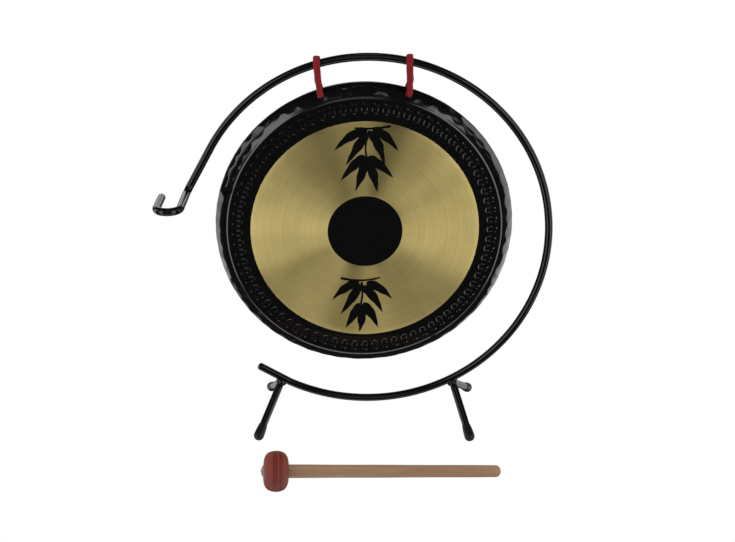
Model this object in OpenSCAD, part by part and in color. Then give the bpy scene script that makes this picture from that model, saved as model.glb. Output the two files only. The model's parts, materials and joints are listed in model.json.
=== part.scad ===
// Small tam tam gong hung by two cords from an open ring stand, with its mallet lying in front.
// Millimetres. X runs to the player's right, Y away from the player and Z up.
// The origin is on the surface that the set stands on, under the middle of the whole set.
// Places on the stand and the gong are worked out from the centre of the ring.

/* [Gong] */
// Widest diameter of the gong
gong_d = 250; // [246:1:254]
// Thickness of the brass
gong_wall = 1.5; // [1:0.1:1.8]
// Depth from the striking face to the edge of the turned rim
gong_depth = 30; // [28:1:32]
// Diameter of the crease where the striking face turns into the flare
crease_d = 230; // [228:1:232]
// Depth of the widest place behind the striking face
widest_depth = 10.5; // [9:0.5:12]
// How far the rim tapers inwards from its widest place to its edge
rim_taper = 4.5; // [3:0.5:6]
// Height of the gong's centre above the ring's centre
gong_up = 6.6; // [5:0.1:9]
// How far the gong's centre is to the left of the ring's centre
gong_left = 1.4; // [0:0.1:4]
// How far the striking face is in front of the ring at the gong's centre
gong_forward = 6.1; // [4:0.1:7]
// Lean of the gong, with its top towards the player, in degrees
gong_tilt = 1; // [0:0.1:3]
// Turn of the gong on its cords, with its right-hand side away from the player, in degrees
gong_turn = 2.4; // [0:0.1:3]
// Angle of each cord hole from the top of the gong
hole_angle = 17; // [16:0.5:18]
// Diameter of the two cord holes
hole_d = 6.6; // [6.2:0.1:7]

/* [Ring and hook] */
// Radius of the ring to the middle of the rod
ring_r = 153; // [152:0.5:156]
// Thickness of the bent rods of the stand
rod_d = 6.3; // [6:0.1:6.6]
// Height of the ring's centre above the floor
ring_z = 170; // [169:0.2:173]
// Angle of the two welds from the lowest point of the ring
weld_angle = 28.8; // [28:0.1:30]
// Length of the straight end of the ring, which the left weld is on
low_end_len = 31; // [24:1:36]
// Radius of the last stretch of the ring, at the upper left
upper_r = 148.7; // [147:0.1:150]
// Angle from the right-hand side at which that stretch starts
upper_start = 70; // [65:1:75]
// Angle at which that stretch becomes straight
upper_end = 150.7; // [150:0.1:151.5]
// Length of the straight stretch above the mallet hook
hook_drop = 35; // [33:0.2:37]
// Radius of the elbow between that stretch and the hook
elbow_r = 8; // [7:0.5:9]
// Distance from the ring to the front of the hook, to the middle of the rod
hook_reach = 49.6; // [46:0.2:54]
// Radius of the hook's round end to the middle of the rod
hook_r = 9.5; // [8.6:0.1:9.8]
// Distance from the ring back to which the hook's free prong runs
hook_stub = 12; // [8:1:14]

/* [Legs and feet] */
// Sideways distance of each foot from the middle of the stand
foot_x = 90.5; // [89:0.5:93]
// Distance of each foot in front of or behind the ring
foot_y = 45; // [43:0.5:48]
// Turn of each leg rod on its weld, with its rear foot to the right, in degrees
leg_twist = 2.9; // [0:0.1:3.5]
// Radius of the bend at the top of each leg rod
leg_bend_r = 10; // [8:0.5:12]
// Diameter of the rubber foot caps
cap_d = 8.3; // [8:0.1:8.6]
// Length of the foot caps
cap_len = 15; // [13:0.5:17]
// Thickness of the foot caps at their open end
cap_lip = 0.45; // [0.3:0.05:0.6]
// How much of each foot cap is pressed flat by the floor
cap_flat = 0.3; // [0.2:0.05:0.4]
// Radius of the weld beads
weld_r = 5.6; // [5.2:0.1:5.8]

/* [Cords] */
// Thickness of the hanging cords
cord_d = 5.3; // [5:0.1:5.5]
// Sideways place of the left cord on the ring
left_cord_x = -40; // [-42:0.5:-38]
// Sideways place of the right cord on the ring
right_cord_x = 34.2; // [32:0.2:36]
// Thickness of the knots
knot_d = 12; // [11:0.5:13]
// Length of the two loose ends below each knot
tail_len = 26; // [20:1:30]

/* [Mallet] */
// Diameter of the mallet's head
head_d = 32.4; // [30:0.2:34]
// Length of the mallet's head
head_len = 20; // [18:0.5:22]
// Diameter of the handle at the head
grip_d = 10.7; // [10:0.1:11]
// Diameter of the handle at its far end
grip_end_d = 9.7; // [9.4:0.1:10]
// Length of the handle from the middle of the head to its far end
grip_len = 183; // [175:1:190]
// Length of the rounding at the handle's far end
grip_round = 4.2; // [3:0.1:4.8]
// How far the handle's tip stands out of the head
tip_len = 2.2; // [1.5:0.1:3]
// Sideways place of the mallet's head from the middle of the stand
mallet_x = -72.5; // [-78:0.5:-70]
// Distance of the mallet's head in front of the ring
mallet_y = 122.8; // [120:0.2:130]
// Turn of the mallet on the floor, with its far end away from the player
mallet_turn = 6; // [5:0.1:8]

/* [Hidden] */
$fn = 96;

rod_r = rod_d / 2;
// Every other stretch of a rod is slim: a hair thinner, and run this far into its neighbours
rod_overlap = 0.5;
rod_step = 0.02;
cap_r = cap_d / 2;
cord_r = cord_d / 2;
head_r = head_d / 2;
gong_r = gong_d / 2;

function unit(v) = v / norm(v);
function in_plane(r, angle) = [r * cos(angle), 0, r * sin(angle)];

// --- The ring's path: its round, the last stretch, the straight drop and the hook ---
// The round stops a little before the left weld, which is on the straight end
low_angle = -90 - weld_angle + 2.5;
low_start = in_plane(ring_r, low_angle);
low_way = [sin(low_angle), 0, -cos(low_angle)];
upper_centre = in_plane(ring_r - upper_r, upper_start);
drop_start = upper_centre + in_plane(upper_r, upper_end);
drop_turn = upper_end + 90;
drop_end = drop_start + in_plane(hook_drop, drop_turn);
elbow_centre = drop_end - [0, elbow_r, 0];
prong_start = elbow_centre + in_plane(elbow_r, drop_turn);
hook_centre = [prong_start[0] - hook_r, hook_r - hook_reach, prong_start[2]];

free_prong = hook_centre - [hook_r, 0, 0];
hook_end_len = 4;
free_end = [free_prong[0], -hook_stub - hook_end_len, free_prong[2]];

// --- The legs: each rod bends at its top, where it is welded under the ring ---
// The bead fills a small gap between the two rods
weld_gap = 0.3;
leg_top = in_plane(ring_r + rod_d + weld_gap, -90 + weld_angle);
weld_centre = in_plane(ring_r + rod_r + weld_gap / 2, -90 + weld_angle);
// Middle of the round end of a foot cap
foot = [foot_x, foot_y, cap_r - cap_flat - ring_z];
leg_drop = [foot[0] - leg_top[0], 0, foot[2] - leg_top[2]];
leg_down = unit(leg_drop);
leg_lean = atan2(-leg_down[2], -leg_down[0]);
leg_below_bend = norm(leg_drop) - leg_bend_r;
// Slope of the straight legs, from the line that touches the bend and ends at the foot
leg_slope = atan2(leg_below_bend, foot_y) + asin(leg_bend_r / norm([foot_y, leg_below_bend]));
leg_way = leg_down * sin(leg_slope) + [0, cos(leg_slope), 0];
leg_bend_end = leg_top + leg_down * leg_bend_r * (1 - cos(leg_slope))
    + [0, leg_bend_r * sin(leg_slope), 0];
// How far the rod runs past the middle of the cap's round end
rod_into_cap = 1.5;
// How far behind the ring the left rear foot, the hindmost one, comes to stand
foot_back = foot_y * cos(leg_twist) + (foot_x - leg_top[0]) * sin(leg_twist);

// --- The set as a whole: its middle is over the origin ---
set_left = hook_centre[0] - hook_r - rod_r;
set_right = ring_r + rod_r;
set_front = -mallet_y - head_r;
set_back = foot_back + cap_r;
set_shift = [-(set_left + set_right) / 2, -(set_front + set_back) / 2, ring_z];

// --- The gong's section, from its centre outwards, with its face at height 0 ---
face_r = 96;
face_fall = 0.6;
crease_round = 4;
widest_round = 3;
crease = [crease_d / 2, -face_fall];
// The rounding takes this much off the corner
widest = [gong_r + 0.3, -widest_depth];
rim = [gong_r - rim_taper, -gong_depth];

function left_of(v) = [v[1], -v[0]];

// Arc of radius r that rounds the corner b between a and c
function rounded(a, b, c, r, steps) =
    let (
        u = unit(a - b),
        v = unit(c - b),
        half = acos(u * v) / 2,
        centre = b + unit(u + v) * r / sin(half),
        side = sign(u[0] * v[1] - u[1] * v[0]),
        first = atan2(-unit(u + v)[1], -unit(u + v)[0])
    )
    [for (i = [0:steps])
        let (turn = first + side * (90 - half) * (1 - 2 * i / steps))
        centre + r * [cos(turn), sin(turn)]];

gong_outside = concat(
    [[0, 0], [face_r, 0]],
    rounded([face_r, 0], crease, widest, crease_round, 4),
    rounded(crease, widest, rim, widest_round, 5),
    [rim]);

// Moves an open outline sideways by t
function moved_in(line, t) = [for (i = [0:len(line) - 1])
    let (
        before = left_of(unit(line[max(i, 1)] - line[max(i, 1) - 1])),
        next = min(i + 1, len(line) - 1),
        after = left_of(unit(line[next] - line[next - 1]))
    )
    line[i] + t * (before + after) / (1 + before * after)];

function backwards(list) = [for (i = [len(list) - 1:-1:0]) list[i]];

// --- The cord holes: square to the flare, a little outside its middle ---
flare = unit(widest - crease);
flare_out = -left_of(flare);
hole_share = 0.56;
hole_place = crease + (widest - crease) * hole_share;

// A place on the gong at radius r and height h from the face, measured from the ring's centre
function on_gong(r, h, angle) =
    let (
        across = r * sin(angle),
        up = r * cos(angle),
        back = -h * cos(gong_tilt) - up * sin(gong_tilt)
    )
    [across * cos(gong_turn) - back * sin(gong_turn) - gong_left,
        across * sin(gong_turn) + back * cos(gong_turn) - gong_forward,
        up * cos(gong_tilt) - h * sin(gong_tilt) + gong_up];

// --- The cords: closed loops over the ring, through the flare and round the rim ---
// Clear space between the cord and the ring, which lets the loop turn on it
cord_gap = 0.7;
cord_loop_r = rod_r + cord_r + cord_gap;
cord_sides = 10;

function along_hole(angle, d) =
    let (place = hole_place + flare_out * d)
    on_gong(place[0], place[1], angle);

function knot_place(angle) = on_gong(gong_r - 21, -12, angle);

function cord_points(x, angle) =
    let (top = [x, 0, sqrt(ring_r * ring_r - x * x)])
    concat(
        [for (turn = [0:22.5:180]) top + cord_loop_r * [0, cos(turn), sin(turn)]],
        [(top + [0, -cord_loop_r, 0]) * 0.5 + along_hole(angle, 6) * 0.5 - [0, 0.8, 0]],
        [for (d = [5, 0, -5]) along_hole(angle, d)],
        [knot_place(angle)],
        [on_gong(rim[0] - 9.5, rim[1] + 9, angle)],
        [on_gong(rim[0] - 6, rim[1] - 1, angle)],
        [on_gong(rim[0] + 0.5, rim[1] - 4.6, angle)],
        [on_gong(rim[0] + 6, rim[1] - 1.5, angle)]);

// One pass of corner cutting on a closed line
function smoothed(line) = [for (i = [0:len(line) - 1])
    let (a = line[i], b = line[(i + 1) % len(line)])
    for (share = [0.25, 0.75]) a + (b - a) * share];

// --- The mallet: its head and the far end of its handle both touch the floor ---
head_squareness = 3;
grip_end_r = grip_end_d / 2;
mallet_dip = asin((head_r - grip_end_r) / (grip_len - grip_round));

// Half of the head's outline, from its back face to its front face, as radius and height
head_outline = [for (t = [-90:7.5:90])
    [grip_d / 2 + (head_r - grip_d / 2) * pow(abs(cos(t)), 2 / head_squareness),
        head_len / 2 * sign(t) * pow(abs(sin(t)), 2 / head_squareness)]];
head_height = max([for (p = head_outline) p[0] * cos(mallet_dip) + p[1] * sin(mallet_dip)]);

// Points its children, which stand along Z, along v
module aim(v) {
    rotate([0, acos(v[2] / norm(v)), atan2(v[1], v[0])]) children();
}

module set_frame() {
    translate(set_shift) children();
}

module rod_run(from, to, slim = false) {
    way = unit(to - from);
    extra = slim ? rod_overlap : 0;
    translate(from - way * extra) aim(way)
        cylinder(h = norm(to - from) + 2 * extra, r = slim ? rod_r - rod_step : rod_r);
}

module rod_bend(r, angle, slim = false) {
    extra = slim ? rod_overlap / r * 180 / PI : 0;
    rotate([0, 0, -extra]) rotate_extrude(angle = angle + 2 * extra)
        translate([r, 0]) circle(r = slim ? rod_r - rod_step : rod_r);
}

// Straight end of a rod, this long, with its edge rounded off
module rod_end(at, way, len) {
    edge = 1.8;
    body = len + rod_overlap - edge;
    r = rod_r - rod_step;
    translate(at - unit(way) * rod_overlap) aim(way) rotate_extrude()
        polygon(concat(
            [[0, 0], [r, 0]],
            [for (t = [0:18:90]) [r - edge + edge * cos(t), body + edge * sin(t)]],
            [[0, body + edge]]));
}

module ring_round() {
    rotate([90, 0, 0]) rotate([0, 0, low_angle]) rod_bend(ring_r, upper_start - low_angle);
}

// The straight end of the ring, with the left weld on it
module low_end() {
    rod_end(low_start, low_way, low_end_len);
}

module ring_shape() {
    ring_round();
    low_end();
    translate(upper_centre) rotate([90, 0, 0]) rotate([0, 0, upper_start])
        rod_bend(upper_r, upper_end - upper_start, slim = true);
    rod_run(drop_start, drop_end);
    translate(elbow_centre) rotate([0, 180 - drop_turn, 0]) rotate([0, 0, 90])
        rod_bend(elbow_r, 90, slim = true);
    rod_run(prong_start, [prong_start[0], hook_centre[1], prong_start[2]]);
    translate(hook_centre) rotate([0, 0, 180]) rod_bend(hook_r, 180, slim = true);
    rod_run(free_prong, free_end);
    rod_end(free_end, [0, 1, 0], hook_end_len);
}

// Puts a leg's pieces, drawn for the right leg standing square, on the left or the right
module leg_frame(flip) {
    top = [(1 - 2 * flip) * leg_top[0], 0, 0];
    translate(top) rotate([0, 0, -leg_twist]) translate(-top) mirror([flip, 0, 0]) children();
}

module leg_bend() {
    translate(leg_top + leg_down * leg_bend_r) rotate([0, -leg_lean, 0])
        rotate([0, 0, -leg_slope]) rod_bend(leg_bend_r, 2 * leg_slope);
}

module leg_shape() {
    leg_bend();
    for (side = [0, 1]) mirror([0, side, 0])
        rod_run(leg_bend_end, foot + leg_way * (rod_into_cap - rod_overlap), slim = true);
}

module ring_rod() {
    color("#161616") set_frame() ring_shape();
}

module left_leg_rod() {
    color("#161616") set_frame() leg_frame(1) leg_shape();
}

module right_leg_rod() {
    color("#161616") set_frame() leg_frame(0) leg_shape();
}

// The bead round the crossing of the ring and a leg, less the two rods
module weld_bead(flip) {
    color("#1c1c1c") set_frame() difference() {
        mirror([flip, 0, 0]) translate(weld_centre) sphere(r = weld_r);
        children();
        leg_frame(flip) leg_bend();
    }
}

module left_weld_bead() {
    weld_bead(1) low_end();
}

module right_weld_bead() {
    weld_bead(0) ring_round();
}

// A soft cap with a round end, pushed over the end of a leg
module foot_cap(flip_x, flip_y) {
    back = cap_len - cap_r;
    bore_r = rod_r - rod_step;
    lip_r = bore_r + cap_lip;
    floor_size = 40;
    color("#101010") set_frame() leg_frame(flip_x) mirror([0, flip_y, 0]) difference() {
        translate(foot) aim(leg_way)
            rotate_extrude() polygon(concat(
                [[bore_r, -back]],
                [for (share = [0:0.2:1]) [lip_r + (cap_r - lip_r) * sin(90 * share),
                    -back + (back - 1) * share]],
                [for (t = [0:15:75]) [cap_r * cos(t), cap_r * sin(t)]],
                [[0, cap_r], [0, rod_into_cap], [bore_r, rod_into_cap]]));
        translate([foot_x, foot_y, -ring_z - floor_size / 2])
            cube(floor_size, center = true);
    }
}

module front_left_foot_cap() {
    foot_cap(1, 1);
}

module front_right_foot_cap() {
    foot_cap(0, 1);
}

module rear_left_foot_cap() {
    foot_cap(1, 0);
}

module rear_right_foot_cap() {
    foot_cap(0, 0);
}

module gong() {
    color("#b9a55f") set_frame() translate([-gong_left, -gong_forward, gong_up])
        rotate([90 + gong_tilt, 0, gong_turn]) difference() {
            rotate_extrude($fn = 180)
                polygon(concat(gong_outside, backwards(moved_in(gong_outside, gong_wall))));
            for (angle = [-hole_angle, hole_angle])
                rotate([0, 0, -angle]) translate([0, hole_place[0], hole_place[1]])
                    aim([0, flare_out[0], flare_out[1]])
                        cylinder(h = 6 * gong_wall, d = hole_d, center = true);
        }
}

// A closed tube along a closed line that lies nearly square to X
module closed_tube(line) {
    count = len(line);
    rings = [for (i = [0:count - 1])
        let (
            way = unit(line[(i + 1) % count] - line[(i + count - 1) % count]),
            side = unit(cross(way, cross([1, 0, 0], way))),
            up = cross(way, side)
        )
        for (k = [0:cord_sides - 1])
            let (turn = 360 * k / cord_sides)
            line[i] + cord_r * (side * cos(turn) + up * sin(turn))];
    faces = [for (i = [0:count - 1], k = [0:cord_sides - 1])
        let (
            j = (i + 1) % count,
            n = (k + 1) % cord_sides
        )
        [i * cord_sides + k, j * cord_sides + k, j * cord_sides + n, i * cord_sides + n]];
    polyhedron(rings, faces);
}

module cord_loop(x, angle) {
    color("#8e1218") set_frame() closed_tube(smoothed(cord_points(x, angle)));
}

// The knot that closes a loop, inside the gong, with the cord's two loose ends below it
module cord_knot(angle) {
    spread = [[-8, 3], [9, 6]];
    color("#8e1218") set_frame() translate(knot_place(angle)) {
        sphere(d = knot_d);
        for (s = spread)
            aim([s[0], s[1], -tail_len]) cylinder(h = tail_len, d = cord_d);
    }
}

module left_cord_loop() {
    cord_loop(left_cord_x, -hole_angle);
}

module right_cord_loop() {
    cord_loop(right_cord_x, hole_angle);
}

module left_cord_knot() {
    cord_knot(-hole_angle);
}

module right_cord_knot() {
    cord_knot(hole_angle);
}

// Children lie along the mallet's axis, Z, from the middle of its head to its far end
module mallet_frame() {
    set_frame() translate([mallet_x, -mallet_y, head_height - ring_z])
        rotate([0, mallet_dip, mallet_turn]) rotate([0, 90, 0]) children();
}

module mallet_head() {
    color("#7a332b") mallet_frame() rotate_extrude() polygon(head_outline);
}

module mallet_handle() {
    tip_r = 1.2;
    tip_share = 0.85;
    straight = head_len / 2;
    end_round = [for (t = [0:15:90])
        [grip_end_r * cos(t), grip_len - grip_round + grip_round * sin(t)]];
    color("#a98a63") mallet_frame() rotate_extrude() polygon(concat(
        [[0, -straight - tip_len], [tip_r, -straight - tip_len * tip_share]],
        [[grip_d / 2, -straight]],
        [[grip_d / 2, straight]],
        end_round));
}

ring_rod();
left_leg_rod();
right_leg_rod();
left_weld_bead();
right_weld_bead();
front_left_foot_cap();
front_right_foot_cap();
rear_left_foot_cap();
rear_right_foot_cap();
gong();
left_cord_loop();
right_cord_loop();
left_cord_knot();
right_cord_knot();
mallet_head();
mallet_handle();
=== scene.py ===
"""A small tam tam gong on an open ring stand, with its mallet lying in front of it."""

import json
import math

import bmesh
import bpy
import numpy as np
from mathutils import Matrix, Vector, noise


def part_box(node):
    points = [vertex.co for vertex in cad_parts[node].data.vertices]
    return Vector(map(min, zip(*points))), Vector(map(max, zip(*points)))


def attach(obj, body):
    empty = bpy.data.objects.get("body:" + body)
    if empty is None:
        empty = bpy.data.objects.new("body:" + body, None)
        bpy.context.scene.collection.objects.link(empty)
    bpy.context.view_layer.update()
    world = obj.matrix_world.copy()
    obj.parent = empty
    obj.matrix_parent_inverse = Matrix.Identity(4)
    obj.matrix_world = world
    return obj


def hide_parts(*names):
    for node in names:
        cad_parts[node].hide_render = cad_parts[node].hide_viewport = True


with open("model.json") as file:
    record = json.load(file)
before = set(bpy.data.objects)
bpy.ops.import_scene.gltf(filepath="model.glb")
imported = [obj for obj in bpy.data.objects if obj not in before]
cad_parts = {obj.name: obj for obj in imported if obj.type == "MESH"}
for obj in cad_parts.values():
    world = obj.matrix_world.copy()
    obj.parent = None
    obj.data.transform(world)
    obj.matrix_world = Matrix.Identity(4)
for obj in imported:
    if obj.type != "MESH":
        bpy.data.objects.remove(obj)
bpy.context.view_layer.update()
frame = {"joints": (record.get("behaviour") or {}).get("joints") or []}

MM = 0.001

# The stand: lengths in metres, plain angles in degrees
RING_R = 153 * MM
ROD_R = 3.15 * MM
PAINT = 0.1 * MM
WELD_ANGLE = 28.8
# The straight low end begins a little inside the left weld and runs out past it
LOW_START = -90 - WELD_ANGLE + 2.5
LOW_LEN = 31 * MM
LOW_KINK = 4
UPPER_R = 148.7 * MM
UPPER_START = 70
UPPER_END = 150.7
HOOK_DROP = 35 * MM
ELBOW_R = 8 * MM
HOOK_REACH = 49.6 * MM
HOOK_R = 9.5 * MM
HOOK_STUB = 12 * MM
LEG_BEND_R = 10 * MM
LEG_TWIST = math.radians(2.9)
FOOT_X = 90.5 * MM
FOOT_Y = 45 * MM
CAP_R = 4.15 * MM
CAP_SWELL = 0.25 * MM
CAP_LEN = 15 * MM
CAP_FLAT = 0.3 * MM
WELD_GAP = 0.3 * MM
BEAD_SPREAD = 4.7 * MM
BEAD_HEIGHT = 3.6 * MM
WORDS = {-1: "left", 1: "right"}
PLACES = {-1: "front", 1: "rear"}

# The gong, in metres, from the middle of its striking face
GONG_R = 125 * MM
WALL = 1.5 * MM
DEPTH = 30 * MM
CREASE_R = 115 * MM
WIDEST_DEPTH = 10.5 * MM
RIM_TAPER = 4.5 * MM
TILT = math.radians(1)
TURN = math.radians(2.4)
GONG_UP = 6.6 * MM
GONG_LEFT = 1.4 * MM
GONG_FORWARD = 6.1 * MM
CENTRE_R = 31.3 * MM
BAND_R = 95.4 * MM
HOLE_ANGLE = math.radians(17)
HOLE_R = 2.8 * MM
HOLE_SHARE = 0.56

# The cords and the mallet, in metres
CORD_R = 2.5 * MM
CORD_WIDER, CORD_THINNER = 0.12, 0.56
HEAD_R = 16.2 * MM
HEAD_LEN = 20 * MM
GRIP_R = 5.35 * MM
GRIP_END_R = 4.85 * MM
GRIP_LEN = 183 * MM
GRIP_ROUND = 4.2 * MM
TIP_LEN = 2.2 * MM

# Places, from the frame
ring_low, ring_high = (np.array(corner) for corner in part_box("ring_rod"))
swing = next(j for j in frame["joints"] if j["name"] == "gong_swing")
RING = np.array([ring_high[0] - RING_R - ROD_R, swing["pos_m"][1], ring_low[2] + RING_R + ROD_R])
HEAD = np.array([(a + b) / 2 for a, b in zip(*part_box("mallet_head"))])
GONG = RING + np.array([-GONG_LEFT, -GONG_FORWARD, GONG_UP])

# ---------------------------------------------------------------- meshes

SHARP_ANGLE = math.radians(50)


def new_piece(name, points, faces, materials):
    """An object with its faces turned outwards."""
    mesh = bpy.data.meshes.new(name)
    mesh.from_pydata(points, [], faces)
    work = bmesh.new()
    work.from_mesh(mesh)
    bmesh.ops.recalc_face_normals(work, faces=work.faces)
    work.to_mesh(mesh)
    work.free()
    for m in materials:
        mesh.materials.append(m)
    piece = bpy.data.objects.new(name, mesh)
    bpy.context.scene.collection.objects.link(piece)
    return piece


def skin(name, rows, bands=None, materials=()):
    """A closed skin over rows of points.

    A row of one point is a pole. A row may have a whole number of times the points of its
    neighbour. bands gives a material number for each gap between rows.
    """
    starts = np.cumsum([0] + [len(row) for row in rows])
    faces, ids = [], []
    for k in range(len(rows) - 1):
        a, b = len(rows[k]), len(rows[k + 1])
        few, many = min(a, b), max(a, b)
        step = many // few
        first, second = (starts[k], starts[k + 1]) if a <= b else (starts[k + 1], starts[k])
        for i in range(few if few > 1 else many):
            if few == 1:
                faces.append((first, second + i, second + (i + 1) % many))
            else:
                outer = [second + (i * step + s) % many for s in range(step, -1, -1)]
                faces.append([first + i, first + (i + 1) % few] + outer)
            ids.append(bands[k] if bands else 0)
    points = np.concatenate([np.asarray(row, float).reshape(-1, 3) for row in rows])
    faces = [tuple(int(v) for v in face) for face in faces]
    piece = new_piece(name, points.tolist(), faces, materials)
    piece.data.polygons.foreach_set("material_index", ids)
    piece.data.shade_smooth()
    piece.data.set_sharp_from_angle(angle=SHARP_ANGLE)
    return piece


def keep_local(piece, local):
    """Stores each point's place in the piece's own frame, for its material."""
    store = piece.data.attributes.new("local", "FLOAT_VECTOR", "POINT")
    store.data.foreach_set("vector", np.asarray(local, np.float32).ravel())


def finish_piece(piece, body, slot, *nodes):
    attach(piece, body)
    if nodes:
        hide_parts(*nodes)


def unit(v):
    return np.asarray(v, float) / np.linalg.norm(v)


def carried_frames(path, side=None):
    """Two vectors square to the path at each of its points, turned as little as possible."""
    ways = np.gradient(path, axis=0)
    ways /= np.linalg.norm(ways, axis=1)[:, None]
    if side is None:
        side = unit(np.cross(ways[0], [0.3, 0.5, 0.81]))
    sides = []
    for way in ways:
        side = unit(side - way * side.dot(way))
        sides.append(side)
    sides = np.array(sides)
    return sides, np.cross(ways, sides)


def tube_rows(path, radius, sides, relief=None, side=None, flat=None):
    """Rings of points round a path.

    radius is one number or one for each point. relief is an extra radius for each point of
    each ring. side is where the first ring starts, and flat is how far each ring is drawn
    out that way and pressed in across it.
    """
    path = np.asarray(path, float)
    u, v = carried_frames(path, side)
    if flat is not None:
        u, v = u * (1 + CORD_WIDER * flat)[:, None], v * (1 - CORD_THINNER * flat)[:, None]
    turn = np.linspace(0, 2 * math.pi, sides, endpoint=False)
    r = np.broadcast_to(np.asarray(radius, float), len(path))[:, None] * np.ones(sides)
    if relief is not None:
        r = r + relief
    ring = np.cos(turn)[None, :, None] * u[:, None] + np.sin(turn)[None, :, None] * v[:, None]
    return path[:, None] + r[:, :, None] * ring


def turned_rows(profile, origin, axis, sides):
    """Rings of points from an outline of (height, radius) turned about an axis.

    With them come the same points in the piece's own frame.
    """
    axis = unit(axis)
    u = unit(np.cross(axis, [0, 0, 1] if abs(axis[2]) < 0.9 else [1, 0, 0]))
    v = np.cross(axis, u)
    rows, places = [], []
    for height, r in profile:
        count = 1 if r <= 0 else sides
        turn = np.arange(count) * 2 * math.pi / count
        c, s = np.cos(turn)[:, None], np.sin(turn)[:, None]
        rows.append(origin + axis * height + r * (c * u + s * v))
        places.append(np.hstack([np.full((count, 1), height), r * c, r * s]))
    return rows, np.concatenate(places)


def rounded_tip(reach, r, steps=8):
    """How far along, and how thick, a rod is over its rounded end."""
    turn = np.linspace(0, math.pi / 2, steps)
    return [(reach * math.sin(t), r - reach + reach * math.cos(t)) for t in turn]


# ---------------------------------------------------------------- materials


def new_material(name):
    m = bpy.data.materials.new(name)
    m.use_nodes = True
    tree = m.node_tree
    return m, tree, tree.nodes["Principled BSDF"]


def add(tree, kind, inputs=(), **settings):
    node = tree.nodes.new(kind)
    for key, value in settings.items():
        setattr(node, key, value)
    for key, value in dict(inputs).items():
        if isinstance(value, bpy.types.NodeSocket):
            tree.links.new(value, node.inputs[key])
        else:
            node.inputs[key].default_value = value
    return node


def ramp(tree, value, stops):
    node = add(tree, "ShaderNodeValToRGB", {"Fac": value})
    line = node.color_ramp
    while len(line.elements) < len(stops):
        line.elements.new(0.5)
    for element, (place, colour) in zip(line.elements, stops):
        element.position = place
        element.color = (*colour, 1)
    return node.outputs["Color"]


def grey(value):
    return (value, value, value)


def object_place(tree):
    return add(tree, "ShaderNodeTexCoord").outputs["Object"]


def local_place(tree):
    return add(tree, "ShaderNodeAttribute", attribute_name="local").outputs["Vector"]


def mix_colours(tree, blend, a, b):
    node = add(tree, "ShaderNodeMix", data_type="RGBA", blend_type=blend)
    node.inputs["Factor"].default_value = 1
    tree.links.new(a, node.inputs["A"])
    tree.links.new(b, node.inputs["B"])
    return node.outputs["Result"]


def sum_of(tree, operation, a, b=0.0):
    return add(tree, "ShaderNodeMath", {0: a, 1: b}, operation=operation).outputs[0]


def noise_of(tree, place, scale, detail=2.0, rough=0.5):
    inputs = {"Vector": place, "Scale": scale, "Detail": detail, "Roughness": rough}
    return add(tree, "ShaderNodeTexNoise", inputs).outputs["Fac"]


def bump(tree, height, distance, strength=1.0, normal=None):
    inputs = {"Height": height, "Distance": distance, "Strength": strength}
    if normal is not None:
        inputs["Normal"] = normal
    return add(tree, "ShaderNodeBump", inputs).outputs["Normal"]


def connect(tree, shader, **sockets):
    for name, value in sockets.items():
        tree.links.new(value, shader.inputs[name.replace("_", " ")])


def enamel(name, colour, rough, specular, peel):
    """Sprayed gloss enamel with orange peel, a little dust and softer patches."""
    m, tree, shader = new_material(name)
    place = object_place(tree)
    shader.inputs["Specular IOR Level"].default_value = specular
    dust = noise_of(tree, place, 900, 4, 0.7)
    patches = noise_of(tree, place, 45, 3)
    base = ramp(tree, dust, [(0.0, colour), (0.68, colour), (0.8, [c * 3 for c in colour])])
    gloss = ramp(tree, patches, [(0.3, grey(rough * 0.8)), (0.7, grey(rough * 1.35))])
    normal = bump(tree, noise_of(tree, place, 420, 2), peel)
    connect(tree, shader, Base_Color=base, Roughness=gloss, Normal=normal)
    return m


def brass_nodes(tree, light, dark):
    """Lathe lines round the middle of the gong, soft smudges and uneven colour, with radial wedges
    of lighter and darker colour that are painted reflection streaks.
    """
    place = local_place(tree)
    split = add(tree, "ShaderNodeSeparateXYZ", {0: place})
    flat = add(tree, "ShaderNodeCombineXYZ", {0: split.outputs[0], 1: split.outputs[1]})
    radius = add(tree, "ShaderNodeVectorMath", {0: flat.outputs[0]}, operation="LENGTH")
    along = add(tree, "ShaderNodeCombineXYZ", {0: radius.outputs["Value"]}).outputs[0]
    fine = noise_of(tree, along, 5200, 3, 0.7)
    broad = noise_of(tree, along, 320, 2)
    smudge = noise_of(tree, place, 26, 4, 0.6)
    way = add(tree, "ShaderNodeVectorMath", {0: flat.outputs[0]}, operation="NORMALIZE")
    # Painted reflection streaks: radial wedges of lighter and darker colour, set at random round
    # the middle
    painted_streak_wedge = noise_of(tree, way.outputs["Vector"], 2.4, 2)
    cloud = noise_of(tree, place, 9, 3, 0.6)
    total = sum_of(tree, "ADD", sum_of(tree, "ADD", painted_streak_wedge, smudge), cloud)
    third = sum_of(tree, "MULTIPLY", total, 0.3333)
    colour = ramp(tree, third, [(0.38, dark), (0.62, light)])
    turned = ramp(tree, noise_of(tree, along, 430, 5, 0.85), [(0.4, grey(0.84)), (0.58, grey(1.0))])
    return place, fine, broad, smudge, mix_colours(tree, "MULTIPLY", colour, turned)


# How far the brass bulges, in metres for each square metre
DOME = 0.35
BRASS_LIGHT, BRASS_DARK = (0.73, 0.585, 0.235), (0.57, 0.45, 0.165)
RAW_LIGHT, RAW_DARK = (0.50, 0.35, 0.15), (0.12, 0.075, 0.04)


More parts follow.
